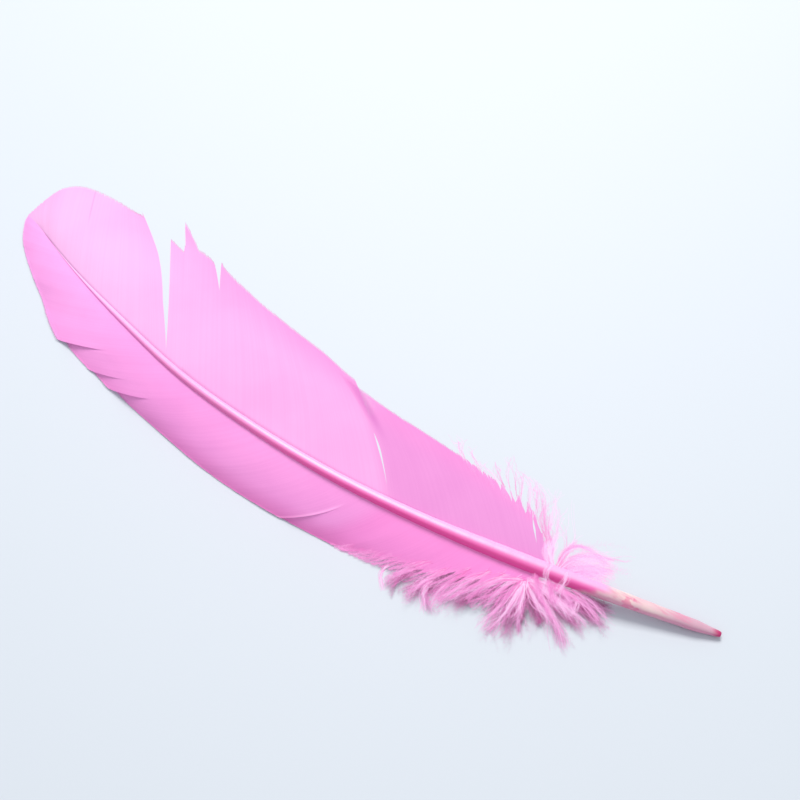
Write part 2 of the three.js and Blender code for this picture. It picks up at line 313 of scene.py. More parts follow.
# %% Shaft material
SPOT = [28.0, 9.6, 5.4]  # X, Y, Z of the largest dye stain on the bare quill
# The shaft's colour below, at its side and on its ridge: near the quill, far from it, at the tip.
# Below is dye with painted shade, and the ridge colour is a painted highlight.
NEAR_SHADED_TO_LIT_PINKS = linear(236, 76, 162), linear(242, 118, 190), linear(243, 174, 222)
FAR_SHADED_TO_LIT_PINKS = linear(228, 120, 184), linear(238, 150, 208), linear(242, 170, 222)
TIP_SHADED_TO_LIT_PINKS = linear(248, 150, 218), linear(244, 170, 226), linear(240, 186, 232)


def shaft_material():
    """Pink along the feather's shaft, with a painted highlight on its ridge and painted shade over
    deeper dye below. The bare quill is cream with pink veins and stains, pinker below as dye and
    painted shade, and its end is deep pink. Places are object X in metres, moved by noise so that
    no line of dye is straight; side is the height on the profile, -1 to 1."""
    recipe = Recipe(
        "dyed_horn_and_painted_light", 0.36, Coat_Weight=0.1, Coat_Roughness=0.3, Specular_IOR_Level=0.45,
        Subsurface_Weight=0.1, Subsurface_Scale=0.002, Subsurface_Radius=(1.0, 0.5, 0.7),
    )
    position = recipe.add("ShaderNodeTexCoord").outputs["Object"]
    x = recipe.add("ShaderNodeSeparateXYZ", {0: position}).outputs[0]
    side = recipe.number("side")
    cloud = recipe.noise(recipe.place((0.45, 1, 1)), 210.0, 4.0)
    moved = recipe.math("ADD", x, recipe.math("MULTIPLY", cloud, 0.010))
    at = lambda mm: (mm + SHIFT[0] + 5.0) * MM
    # Painted shade below and a painted highlight on the ridge, by height on the turned profile.
    lower, upper = recipe.fade(side, 0.15, 0.55), recipe.fade(side, 0.5, 0.85)
    shaded_to_lit = lambda below, beside, ridge: recipe.mix(upper, recipe.mix(lower, below, beside), ridge)
    pink, far, tip = shaded_to_lit(*NEAR_SHADED_TO_LIT_PINKS), shaded_to_lit(*FAR_SHADED_TO_LIT_PINKS), shaded_to_lit(*TIP_SHADED_TO_LIT_PINKS)
    pink = recipe.mix(recipe.fade(x, at(105), at(190)), pink, far)
    pink = recipe.mix(recipe.fade(x, at(190), at(250)), pink, tip)
    cream = recipe.mix(recipe.fade(cloud, 0.38, 0.62), linear(234, 210, 208), linear(230, 188, 200))
    cream = recipe.mix(recipe.fade(x, at(22), at(3)), cream, linear(210, 164, 184))
    veins = recipe.noise(recipe.place((0.13, 1, 1), (0.2, 0, 0)), 520.0, 4.0)
    cream = recipe.mix(recipe.fade(veins, 0.50, 0.66, 0.0, 0.6), cream, linear(222, 138, 170))
    # The quill is pinker below: dye and painted shade.
    cream = recipe.mix(recipe.fade(side, 0.35, -0.1, 0.0, 0.5), cream, linear(216, 120, 164))
    spot = (np.array(SPOT) + SHIFT) * MM
    away = recipe.add("ShaderNodeVectorMath", {0: position, 1: spot}, operation="DISTANCE").outputs["Value"]
    specks = recipe.noise(recipe.place((0.7, 1, 1)), 620.0, 3.0)
    ragged = recipe.math("ADD", away, recipe.math("MULTIPLY", specks, 0.010))
    stains = recipe.math("MAXIMUM", recipe.fade(specks, 0.69, 0.74), recipe.fade(ragged, 0.0072, 0.0062))
    cream = recipe.mix(recipe.math("MULTIPLY", stains, 0.5), cream, linear(224, 84, 146))
    reach = recipe.math("ADD", moved, recipe.math("MULTIPLY", side, 0.006))
    colour = recipe.mix(recipe.fade(reach, at(38), at(43)), cream, pink)
    colour = recipe.mix(recipe.fade(moved, at(-0.5), at(4.0)), linear(190, 44, 108), colour)
    streaks = recipe.noise(recipe.place((0.04, 1, 1)), 1500.0, 2.0)
    return recipe.finish(colour, streaks, 0.2, 0.0001)


shaft_horn = shaft_material()

# %% [markdown]
# Down is the same stuff, drawn out so thin that it looks paler wherever light gets behind it.
# Each strand carries one number for how pale it is, so that neighbours differ and the fluff
# doesn't look flat. Below 0 the number turns a strand deep mauve pink, which is painted shade,
# most of all in the low veils under the fan and the brushes.

# %% Down material
def down_material():
    """Pink strands, lighter towards their ends. The number pale, one for each strand, takes them
    to almost white at 1 and to a deep mauve pink at -1, which is painted shade."""
    recipe = Recipe("dyed_down_and_painted_shade", 0.8, Sheen_Weight=0.2, Sheen_Roughness=0.5, Specular_IOR_Level=0.15)
    outward, pale = recipe.number("outward"), recipe.number("pale")
    colour = recipe.mix(recipe.fade(outward, 0.0, 0.8), linear(238, 108, 188), linear(248, 156, 222))
    # Painted shade: below 0 a strand turns deep mauve pink.
    colour = recipe.mix(recipe.fade(pale, 0.0, -1.0), colour, linear(206, 96, 168))
    return recipe.finish(recipe.mix(recipe.fade(pale, 0.0, 1.0), colour, linear(252, 212, 248)))


down_dye_and_painted_shade = down_material()

# %% [markdown]
# ## The shaft
# A goose shaft is thickest at the top of the bare quill, arches up and to one side, and thins
# to a hair at the tip. It is a profile carried along a path: ten measured stations give the
# path and the thickness, and a slightly squared circle gives the profile. The quill's end is
# drawn in around the small hole that fed the growing feather.

# %% Shaft measurements
STATION = 33.0
SHAFT = [  # side offset, height of its middle, diameter
    [0.4, 1.25, 3.4],
    [9.4, 4.7, 4.7],
    [17.8, 8.0, 5.3],
    [24.7, 11.0, 4.2],
    [28.9, 12.8, 3.7],
    [29.5, 13.2, 3.2],
    [27.0, 12.3, 2.7],
    [20.1, 9.4, 2.0],
    [11.2, 5.6, 1.2],
    [-0.6, 1.2, 0.8],
]
QUILL_START = -1.2
QUILL_TAPER = 9.0  # the quill thins over this length, towards its end,
QUILL_END_SHARE = 0.62  # to this share of its thickness
SHAFT_LENGTH = STATION * (len(SHAFT) - 1)
SHAFT_FADES = (235, 293)  # between these the shaft thins to a hair
HAIR_SHARE = 0.04  # which is this share of the measured diameter
print("shaft, mm:", SHAFT_LENGTH, "long, thickest", max(row[2] for row in SHAFT))


def shaft_at(x):
    """The middle (X, Y, Z) and the diameter of the shaft at each X, from the smooth curve through
    the stations. Over SHAFT_FADES the diameter falls to HAIR_SHARE of itself."""
    y, z, diameter = np.moveaxis(through(SHAFT, np.asarray(x) / STATION), -1, 0)
    return np.stack([x, y, z], -1), diameter * (1 - (1 - HAIR_SHARE) * ramp(*SHAFT_FADES, x))


def shaft_direction(x):
    """The unit tangent, from a difference over two millimetres."""
    return unit(shaft_at(x + 1)[0] - shaft_at(x - 1)[0])


# %% Shaft surface
# The painted highlight on the shaft's ridge is turned this far towards the lamp's side.
SHAFT_HIGHLIGHT_TURNED = np.radians(35)  # the pale ridge lies this far round towards the broad vane


def build_shaft(rings=300, sides=32):
    """Ring i is a superellipse: radius r / (|cos|^n + |sin|^n)^(1/n), n = 2.4, flattened 4% and
    grooved below, in the plane across the path. The first rings dip into the quill's hole."""
    hole = np.array([[0.9, 0.10], [0.55, 0.30], [0.15, 0.46], [0.0, 0.62], [0.1, 0.76], [0.5, 0.9]])
    length = SHAFT_LENGTH - 1.0 - QUILL_START
    from_end = np.concatenate([hole[:, 0], np.linspace(1.2, length, rings)])
    x = QUILL_START + from_end
    share = np.concatenate([hole[:, 1], np.ones(rings)])
    share *= QUILL_END_SHARE + (1 - QUILL_END_SHARE) * ramp(0, QUILL_TAPER, from_end)
    middle, diameter = shaft_at(x)
    direction = shaft_direction(x)
    across = unit(np.cross([0, 0, 1], direction))
    up = np.cross(direction, across)
    angle = 2 * np.pi * np.arange(sides) / sides
    cos, sin = np.cos(angle), np.sin(angle)
    squared = (np.abs(cos) ** 2.4 + np.abs(sin) ** 2.4) ** (-1 / 2.4)
    groove = 0.10 * np.exp(-(((angle - 1.5 * np.pi) / 0.35) ** 2))
    profile = squared[None, :] * (1 - groove[None, :] * ramp(50, 80, x)[:, None])
    bumps = 1 + 0.012 * np.sin(0.9 * x[:, None] + 2 * sin) + 0.008 * np.sin(2.3 * x[:, None] + 3 * cos)
    radius = (diameter * share / 2)[:, None] * profile * bumps
    ring = across[:, None] * (radius * cos)[..., None] + up[:, None] * (0.96 * radius * sin)[..., None]
    points = (middle[:, None] + ring).reshape(-1, 3)
    i = np.arange(len(x) - 1)[:, None] * sides
    j = np.arange(sides)[None, :]
    k = (j + 1) % sides
    quads = np.stack([i + j, i + k, i + k + sides, i + j + sides], -1).reshape(-1, 4)
    caps = np.stack([np.arange(sides)[::-1], (len(x) - 1) * sides + np.arange(sides)])
    # side places the painted shade below and the painted highlight on the ridge.
    values = {"side": np.tile(np.sin(angle - SHAFT_HIGHLIGHT_TURNED), len(x))}
    return make_piece("shaft", points, [quads, caps], shaft_horn, values)


build_shaft()

# %% [markdown]
# ## The vanes
# Each vane is several hundred barbs side by side. A barb leaves the shaft at an angle, bends
# towards the tip and ends on the vane's outline. So one barb is a curve from root to end, and
# the whole vane is that curve as a function of two numbers: where on the shaft the barb starts,
# and how far out on it a point is. The outline needs only a few measured barbs; the rest are
# worked out between them. Splits, where barbs have let go of each other, push the two sides
# apart more and more towards the rim. Several splits at one place add up to a curved opening.

# %% Vane measurements
BROAD_BARBS = [  # where a barb leaves the shaft (X), and where it ends (X, Y, Z)
    [55, 61, 6.5, 6.5],
    [57.5, 71, -2.0, 5.2],
    [64, 84, -3.6, 5.0],
    [74, 100, -4.9, 5.0],
    [86, 118, -5.8, 5.0],
    [98, 135, -6.5, 5.0],
    [111, 151, -8.9, 5.0],
    [122, 166, -12.4, 5.0],
    [136, 180, -14.1, 5.0],
    [151, 196, -16.5, 5.0],
    [168, 211, -19.7, 4.6],
    [187, 228, -23.2, 4.2],
    [206.5, 250, -23.6, 3.5],
    [226, 264, -23.8, 3.0],
    [247, 276, -24.2, 2.4],
    [266, 288, -22.5, 2.0],
    [279, 295, -17.6, 1.6],
    [286, 297.4, -9.0, 1.0],
    [288.5, 298, -0.9, 0.7],
]
NARROW_BARBS = [
    [56, 66, 38.0, 0.3],
    [65, 78, 41.7, 0.3],
    [75, 91, 43.0, 0.3],
    [87, 105, 43.6, 0.3],
    [100, 120, 45.2, 0.3],
    [125, 148, 47.6, 0.3],
    [145, 173, 47.4, 0.3],
    [166, 199, 44.2, 0.3],
    [190, 226, 40.2, 0.3],
    [216, 253, 34.6, 0.3],
    [237, 269, 25.2, 0.3],
    [255, 281, 18.0, 0.3],
    [272, 291.2, 10.5, 0.4],
    [284, 296.9, 3.1, 0.5],
    [288.5, 298.1, -0.5, 0.7],
]
# The angle between shaft and barb where they meet: shaft X, degrees.
LEAVING_ANGLE = [[60, 60], [150, 57], [206, 41], [262, 36], [284, 28], [288.5, 0]]
BARB_STRAIGHT = 0.45  # the share of a barb's length that its first direction governs
SHORT_BARB = 25.0  # barbs shorter than this arch less
ROOT_OUT, ROOT_IN, ROOT_DOWN = 0.25, 0.12, 0.03  # see barb_curves
SPLIT_FLARE = 1.25  # 1 opens a split like a straight wedge, more keeps it narrow for longer
# A split: shaft X, where on the barbs it starts, how far the tip's side and the quill's side
# move (X, Y, Z), and how far along the shaft that is felt.
BROAD_SPLITS = [
    (58.3, 0.30, (1.6, 0, 0.3), (-1.6, 0, 0), 3),
    (58.3, 0.60, (-2.2, 0, 0), (2.2, 0, 0), 3),
    (110.8, 0.06, (1.9, 0, 0), (-2.2, 0, 0), 8),
    (110.8, 0.42, (-2.3, -0.9, -0.4), (7.2, 1.0, 1.4), 7),
    (180.5, 0.78, (0.8, 1.8, 0), (-0.3, -1.0, 0.4), 3),
    (206.5, 0.05, (5.4, 0, 0), (-5.0, 1.2, 0), 13),
    (206.5, 0.40, (-4.4, 0, 0), (0, 0, 0), 13),
    (206.5, 0.52, (2.4, 0, 0), (0, 0, 0), 13),
    (206.5, 0.64, (2.6, 0, 0), (-0.6, 0.4, 0), 13),
    (206.5, 0.76, (3.2, 0, 0), (0, 0, 0), 13),
]
NARROW_SPLITS = [
    (119, 0.15, (0.4, 0.2, 0.3), (-0.2, -0.2, 0), 6),
    (186, 0.55, (1.4, 0.5, 0.35), (-0.4, -0.8, 0), 5),
    (196, 0.60, (0.8, 0.2, 0.2), (-0.2, -0.4, 0), 4),
    (212, 0.50, (2.0, 0.5, 0.42), (-0.6, -1.0, 0), 5),
]
# Broken barbs: shaft X, and how much of the barb is left.
BROAD_TRIM = [
    [55, 0.6], [56.2, 0.9], [58, 1],
    [192, 1], [198, 1.15], [198.4, 0.92], [206.4, 0.98], [206.5, 1.03], [208, 1],
]
NARROW_TRIM = [[56, 0.7], [60, 0.95], [64, 0.78], [69, 1], [74, 0.84], [79, 1], [84, 0.9], [89, 1]]
# How far out the barbs still hook together: shaft X, share of the barb, over 1 for all of it.
BROAD_HOOKED = [[55, 0.5], [57, 0.85], [60, 0.8], [66, 0.93], [74, 0.95], [84, 1.3]]
NARROW_HOOKED = [[56, 0.2], [65, 0.4], [75, 0.55], [87, 0.7], [98, 0.86], [110, 1.3]]
print("measured barbs:", len(BROAD_BARBS), "broad and", len(NARROW_BARBS), "narrow")


# %% Barb curves
def barb_curves(side, barbs, splits, trim, camber, lying, x, t):
    """Points P(x, t), one row of points a barb. With R the root, E the end and C a point that
    lies BARB_STRAIGHT of the way out in the leaving direction, P = (1-t)^2 R + 2t(1-t) C + t^2 E
    seen from above. The root is ROOT_OUT of the shaft's diameter off its middle, less ROOT_IN,
    and ROOT_DOWN lower on the narrow side. The height falls straight from root to end, plus
    camber * 4s(1-s), s being t over the part that doesn't lie on the ground, and less than that
    on a short barb. A split adds its move, times how far past the split's start t is, to the
    power SPLIT_FLARE, times exp(-distance along the shaft / reach)."""
    barbs = np.asarray(barbs, float)
    row = np.interp(x, barbs[:, 0], np.arange(len(barbs)))
    end = through(barbs, row)[:, 1:]
    root, diameter = shaft_at(x)
    root[:, 1] += side * (ROOT_OUT * diameter - ROOT_IN)
    root[:, 2] -= ROOT_DOWN * side
    reach = np.linalg.norm(end - root, axis=1)[:, None]
    heading = shaft_direction(x)[:, :2]
    turn = side * np.radians(np.interp(x, *np.transpose(LEAVING_ANGLE)))
    turned = np.stack([
        heading[:, 0] * np.cos(turn) - heading[:, 1] * np.sin(turn),
        heading[:, 0] * np.sin(turn) + heading[:, 1] * np.cos(turn),
    ], -1)
    control = root.copy()
    control[:, :2] += BARB_STRAIGHT * reach * unit(turned)
    out = t[None, :, None] * np.interp(x, *np.transpose(trim))[:, None, None]
    root, control, end = root[:, None], control[:, None], end[:, None]
    points = (1 - out) ** 2 * root + 2 * out * (1 - out) * control + out**2 * end
    fallen = np.minimum(out / (1 - lying), 1)[..., 0]
    arch = camber * np.minimum(reach / SHORT_BARB, 1) * 4 * fallen * (1 - fallen)
    points[..., 2] = root[..., 2] + (end - root)[..., 2] * fallen + arch
    for at, start, tip_side, quill_side, felt in splits:
        opened = np.maximum(0, (out[..., 0] - start) / (1 - start)) ** SPLIT_FLARE
        strength = opened * np.exp(-np.abs(x - at) / felt)[:, None]
        move = np.where((x > at)[:, None], tip_side, quill_side)
        points += strength[..., None] * move[:, None]
    return points


halfway = barb_curves(-1, BROAD_BARBS, [], [[0, 1]], 1.6, 0, np.array([150.0]), np.array([0.5]))
print("the broad barb at 150 mm is halfway out at, mm:", halfway[0, 0].round(1))

# %% [markdown]
# Real barbs aren't evenly combed. They ride up and down a little together, which gives the vane
# its soft streaks. Where the hooks have let go, each barb is a free thread that waves about.

# %% Unevenness
def swell(x, t, height):
    """Height added along the vane: t times a sum of sines of x, each shorter and lower."""
    waves = [(31.0, 1.0), (12.3, 0.3), (4.6, 0.08)]
    total = sum(h * np.sin(2 * np.pi * x / length + rng.uniform(0, 6.28)) for length, h in waves)
    return height * total[:, None] * t[None, :]


def gather(points, free, size, pull):
    """Draws free barbs together in groups: each point moves towards its group's mean by the
    share pull * free, so that a group ends in one ragged point."""
    count = len(points)
    breaks = np.cumsum(rng.integers(size[0], size[1], count))
    group = np.searchsorted(breaks, np.arange(count), side="right")
    total = np.zeros((group.max() + 1,) + points.shape[1:])
    np.add.at(total, group, points)
    mean = total / np.bincount(group, minlength=len(total)).clip(1)[:, None, None]
    return points + (mean[group] - points) * (pull * free)[..., None]


# %% [markdown]
# A barb's section is a flat diamond with its ridge up. Neighbours overlap like roof tiles, so
# that the vane has no gaps. The same function makes the stems of down, which are thin diamonds.

# %% Diamond strands along curves
def diamonds(middle, across, up):
    """Closed strands. middle, across and up: arrays (strand, step, XYZ); the four points of step
    j are middle + across, middle + up, middle - across and middle - up, joined to those of j + 1."""
    strands, steps = middle.shape[:2]
    points = np.stack([middle + across, middle + up, middle - across, middle - up], 2)
    number = np.arange(strands * steps * 4).reshape(strands, steps, 4)
    here, there = number[:, :-1], number[:, 1:]
    beside = lambda block: np.roll(block, -1, axis=2)
    quads = np.stack([here, beside(here), beside(there), there], -1).reshape(-1, 4)
    caps = np.concatenate([number[:, 0, ::-1], number[:, -1]])
    line = np.tile([0, -1, 2, -1], strands * steps)
    return points.reshape(-1, 3), np.concatenate([quads, caps]), line


# %% [markdown]
# Where barbs are pressed over their neighbours, the vane shows a crease. Such a fold is thinner
# than a barb's own ridge, so it is given as a number on the barbs, and its colour is painted
# shade in the crease, or a painted highlight where the number is below 0. The broad vane is thin
# and sheer. The narrow one is stiffer, lies on the ground and casts a shadow.

# %% Build a vane
BARB_PITCH = 0.5
BARB_STEPS = 26
STEP_SPACING = 0.9  # the power that sets a barb's steps; below 1 they are closer at the rim
OVERLAP = 0.62  # half a hooked barb's width, as a share of the gap to its neighbours
THREAD = 0.14  # half the width of a free barb
NICK_REACH = 1.2  # how far along the shaft a nick in the rim is felt
# Folds: shaft X, reach along the shaft, the shares of the barb where the fold starts and is
# full, and how much deeper its colour is as painted shade, or lighter as a painted highlight
# if below 0.
BROAD_FOLD_SHADES = [(107.8, 2.0, 0.5, 0.9, 1), (258, 0.5, 0.5, 0.8, 0.4)]
NARROW_FOLD_HIGHLIGHTS = [(119.6, 0.5, 0.2, 0.4, -0.7)]


def painted_fold_shade(folds, x, t):
    """The sum over the folds of depth * exp(-((x - at) / reach)^2) * ramp(start, full, t)."""
    depths = np.zeros((len(x), len(t)))
    for at, reach, start, full, depth in folds:
        depths += depth * np.exp(-(((x - at) / reach) ** 2))[:, None] * ramp(start, full, t)
    return depths


def build_vane(name, material, side, barbs, splits, trim, hooked, folds, camber, lying, nicks, sheer, lift):
    """Barbs every BARB_PITCH along the shaft. While they hook together, half a barb's width is
    OVERLAP times the gap to its neighbours, and beyond it is a thread. nicks is how many small
    random splits the rim gets. Returns where the barbs with free ends run, and from where."""
    first, last = barbs[0][0], barbs[-1][0]
    x = np.linspace(first, last, int((last - first) / BARB_PITCH))
    t = np.linspace(0, 1, BARB_STEPS) ** STEP_SPACING
    small_splits = [
        (at, rng.uniform(0.88, 0.97), (rng.uniform(0.05, 0.3), 0, 0), (0, 0, -0.1), NICK_REACH)
        for at in rng.uniform(first + 45, last - 15, nicks)
    ]
    kept = np.interp(x, *np.transpose(trim)) * (1 + 0.003 * rng.standard_normal(len(x)))
    limit = np.interp(x, *np.transpose(hooked)) * (1 + 0.05 * rng.standard_normal(len(x)))
    free = ramp(0, 0.12, t[None] - limit[:, None])
    trimmed = np.stack([x, kept], -1)
    middle = barb_curves(side, barbs, splits + small_splits, trimmed, camber, lying, x, t)
    middle[..., 2] += swell(x, t, 0.12) * (1 - lying * 4)
    middle = gather(middle, free, (2, 6), 0.75)
    phase = rng.uniform(0, 6.28, (2, len(x), 1))
    wave = 1.6 * np.maximum(0, t[None] - limit[:, None])
    middle[..., 0] += wave * np.sin(9 * t + phase[0])
    middle[..., 2] += wave * (0.6 + np.sin(7 * t + phase[1]))
    middle[..., 2] = np.maximum(middle[..., 2], 0.12)
    whole = barb_curves(side, barbs, [], [[0, 1]], camber, lying, x, t)
    along = unit(np.gradient(middle, axis=1))
    step = np.gradient(whole, axis=0)
    apart = np.linalg.norm(step - (step * along).sum(-1, keepdims=True) * along, axis=-1)
    normal = unit(np.cross(along, step))
    normal *= np.sign(normal[..., 2:])
    across = unit(np.cross(normal, along))
    narrowing = 1 - 0.8 * ramp(0.96, 1.0, t)
    half = OVERLAP * apart * narrowing * (1 - free) + THREAD * (1 - 0.7 * t) * free
    tilt = 0.012 * (narrowing * (1 - free))[..., None] * normal
    height = (0.04 - 0.02 * t)[None, :, None] * normal
    points, faces, line = diamonds(middle, across * half[..., None] + tilt, height)
    steps = (len(x), BARB_STEPS, 4)
    values = {
        "outward": np.broadcast_to(t[None, :, None], steps),
        "along": np.broadcast_to((x / SHAFT_LENGTH)[:, None, None], steps),
        "tint": np.broadcast_to(rng.random(len(x))[:, None, None], steps),
        "fold": np.broadcast_to(painted_fold_shade(folds, x, t)[..., None], steps),
    }
    make_piece(name, points, [faces], material, values, line, sheer, lift)
    loose = limit < 0.97  # these barbs let go before the rim
    return middle[loose], limit[loose]


broad_free = build_vane(
    "broad_vane", broad_vane_dye_and_painted_shade, side=-1, barbs=BROAD_BARBS, splits=BROAD_SPLITS, trim=BROAD_TRIM,
    hooked=BROAD_HOOKED, folds=BROAD_FOLD_SHADES, camber=1.6, lying=0.0, nicks=8, sheer=True, lift=0.0,
)
narrow_free = build_vane(
    "narrow_vane", narrow_vane_dye_and_painted_light, side=1, barbs=NARROW_BARBS, splits=NARROW_SPLITS, trim=NARROW_TRIM,
    hooked=NARROW_HOOKED, folds=NARROW_FOLD_HIGHLIGHTS, camber=1.2, lying=0.05, nicks=0, sheer=False, lift=0.28,
)

# %% [markdown]
# ## The down
# Near the quill the barbs have no hooks, and fluff out. A strand of down is a hair-thin stem
# with rows of still finer barbules, which give it its soft rim. Strands come in locks that
# share a curve, so each lock is three measured points, root, middle and end, and a count. The
# fan and the brushes lie on the narrow vane's side, the tuft on the broad one's, and a few loose
# hairs stray over the rim and the shaft.

# %% Locks of down
FAN = [  # strands, spread, length of the barbules, paleness, then root, middle and end (X, Y, Z)
    [10, 1, 1.3, 0.3, [60.5, 22.5, 7], [66.5, 27.5, 7], [68, 34.5, 2]],
    [10, 1.2, 1.4, 0.3, [60.5, 22.5, 7], [64, 27.5, 6], [65, 36, 1.5]],
    [12, 1.4, 1.5, 0.2, [60, 22.5, 7], [61.5, 29, 4], [61.5, 42, 0.6]],
    [12, 1.5, 1.5, 0.3, [60, 23, 7], [59, 30, 4], [57, 40.5, 0.6]],
    [10, 1.3, 1.4, 0.2, [59.5, 23, 7], [57.5, 29, 4], [55, 36.5, 0.6]],
    [5, 1.2, 1, 0.7, [59.5, 23.5, 8], [59.5, 29.5, 7], [59, 36.5, 5]],
    [5, 1.2, 1, 0.7, [59, 23.5, 8], [56.5, 28.5, 7], [56.5, 35, 5]],
    [12, 1.5, 1.4, 0.4, [59, 22.5, 7], [53.5, 25.5, 4], [47, 29, 1]],
    [12, 1.3, 1.5, 0.5, [59, 22, 7], [49.5, 24, 4], [37, 28, 0.6]],
    [12, 1.4, 1.4, 0.4, [59, 21.5, 7], [50.5, 21.5, 5], [41.5, 24.5, 1.5]],
    [12, 1.4, 1.4, 0.4, [58, 20.5, 7], [47, 20.5, 4], [36, 19.5, 0.8]],
    [10, 1.2, 1.3, 0.5, [54, 18.5, 5], [43.5, 16.5, 3], [30, 15.5, 0.8]],
    [10, 1.2, 1.5, 0.4, [55.5, 19.5, 7], [48, 18, 5], [37.5, 17.5, 2]],
    [10, 1.2, 1.5, 0.4, [57.5, 20, 7], [50.5, 20.5, 5], [40.5, 20.5, 1.5]],
    [10, 1.2, 1.5, 0.2, [51, 18.5, 7], [43, 17, 5], [34, 15.5, 2]],
    [8, 1, 1.4, 0.2, [46, 16, 6], [40, 14.8, 4.5], [32.5, 13.5, 2]],
    [6, 0.8, 1.1, 0.7, [49, 17.5, 5], [43, 17, 4], [41.5, 22, 3]],
    [5, 0.6, 1, 0.6, [41, 11, 6], [41.5, 15.5, 4], [44.5, 20.5, 3]],
]
TUFT = [
    [12, 1.5, 1.6, 0.5, [52, 13, 7], [49, 5.5, 8], [40.5, -1.5, 5]],
    [12, 1.6, 1.6, 0.4, [51.5, 14, 7], [47, 7.5, 7], [37.5, 2.5, 5]],
    [10, 1.5, 1.5, 0.4, [50, 13.5, 6], [45, 8.5, 6], [38.5, 6.5, 5]],
    [7, 0.6, 0.9, 0.5, [53.5, 13, 8], [52.5, 3.5, 9], [43.5, 0, 7]],
    [8, 1.2, 1.5, 0.7, [54.5, 13.5, 8], [57.5, 9.5, 9], [57.5, 2.5, 7]],
    [8, 1.2, 1.5, 0.8, [55.5, 13.5, 8], [59.5, 11, 9], [61.5, 4.5, 6]],
    [6, 1, 1.3, 0.6, [53, 13.5, 8], [53, 8, 9], [51.5, 1.5, 8]],
]
BRUSHES = [  # on the narrow vane's rim
    [8, 0.9, 1.1, 0.3, [88.5, 33, 6], [94, 39, 4], [97, 47, 1]],
    [8, 1, 1.2, 0.4, [82, 31, 6], [86.5, 38, 4], [90, 46.5, 1]],
    [8, 1, 1.2, 0.2, [76.5, 29, 7], [81, 35, 4], [84.5, 43, 1]],
    [10, 1.2, 1.3, 0.3, [70.5, 26, 7], [76, 33, 5], [81, 41.5, 1.5]],
    [10, 1.2, 1.3, 0.2, [66, 24.5, 8], [70.5, 31, 5], [75, 40, 1.5]],
    [5, 0.6, 1, 0.6, [85, 38, 3], [85.5, 42, 2], [81, 46.5, 0.5]],
    [4, 0.6, 0.9, 0.6, [100, 41.5, 3], [100.5, 45, 2], [97, 49, 0.5]],
]
HAIRS = [  # on the broad vane's rim, over the shaft and close beside it
    [2, 0.8, 0.6, 0.5, [54, 8, 7], [56, 3, 8], [61, -1.5, 7]],
    [1, 0.5, 0.5, 0.6, [54, 6, 7], [54.5, -1, 7], [58.5, -12, 5]],
    [2, 0.7, 0.6, 0.6, [81, -2.5, 7], [84.5, -7, 8], [89, -12.5, 7]],
    [2, 0.7, 0.6, 0.5, [78, -2, 7], [82, -7, 8], [87, -14, 7]],
    [3, 0.9, 0.7, 0.6, [76.5, -1.5, 7], [79, -6.5, 7], [83.5, -10, 7]],
    [4, 1, 0.7, 0.7, [72.5, -1, 7], [75.5, -6.5, 7], [79.5, -11.5, 6]],
    [4, 1, 0.8, 0.8, [69.5, -0.5, 7], [72.5, -6.5, 7], [75, -11.5, 6]],
    [4, 1, 0.8, 0.8, [65.5, 1, 7], [68.5, -6, 7], [72, -11.5, 6]],
    [4, 1.2, 0.9, 0.9, [62, 4, 7], [64.5, -3, 7], [70, -11, 6]],
    [5, 1.2, 1.1, 0.9, [58.5, 8.5, 7], [60.5, 1, 7], [65.5, -6, 6]],
    [3, 0.8, 0.6, 0.6, [86, -3, 7], [91, -4.5, 8], [95.5, -5.5, 8]],
    [3, 0.8, 0.6, 0.6, [83, -2.5, 7], [87, -5, 8], [90.5, -7.5, 8]],
    [3, 0.9, 0.5, 0.6, [93, -3.5, 7], [97.5, -6, 7], [100.5, -7, 7]],
    [5, 1.6, 0.5, 0.6, [100, -4, 6], [103.5, -6.5, 6], [106, -8, 6]],
    [5, 0.9, 1, 0.7, [55, 12.5, 8], [55, 17, 10.5], [52, 24, 5]],
    [5, 0.9, 1, 0.7, [50.5, 12.5, 8], [48.5, 16.5, 10], [49.5, 22.5, 4]],
    [2, 0.6, 0.6, 0.4, [43.5, 1.5, 6], [39.5, -2, 4], [34, -3.5, 3]],
    [6, 1.1, 1.1, 0, [60, 7, 7], [65.5, 1.5, 8], [72, -4, 7.5]],
    [6, 1.1, 1.1, 0.1, [57, 9, 7], [61.5, 4.5, 8], [66, -1.5, 7.5]],
    [10, 1.3, 1.4, -0.1, [58.5, 18.2, 7.5], [55.5, 21.5, 7.5], [51.5, 25.5, 5.5]],
    [10, 1.3, 1.4, 0, [54.5, 17.5, 7], [51.5, 19.8, 7], [47, 22.5, 5]],
    [8, 1.2, 1.4, 0, [50.5, 16.5, 6.5], [47, 18.3, 6.5], [42, 20, 4.5]],
]
print("locks:", {"fan": len(FAN), "tuft": len(TUFT), "brushes": len(BRUSHES), "hairs": len(HAIRS)})

# %% Paths of the strands
STRAND_STEPS = 20
HOOK = 0.22  # how far a lock's end bends aside, as a share of its length
FULL_CURL = 14  # locks shorter than this curl less


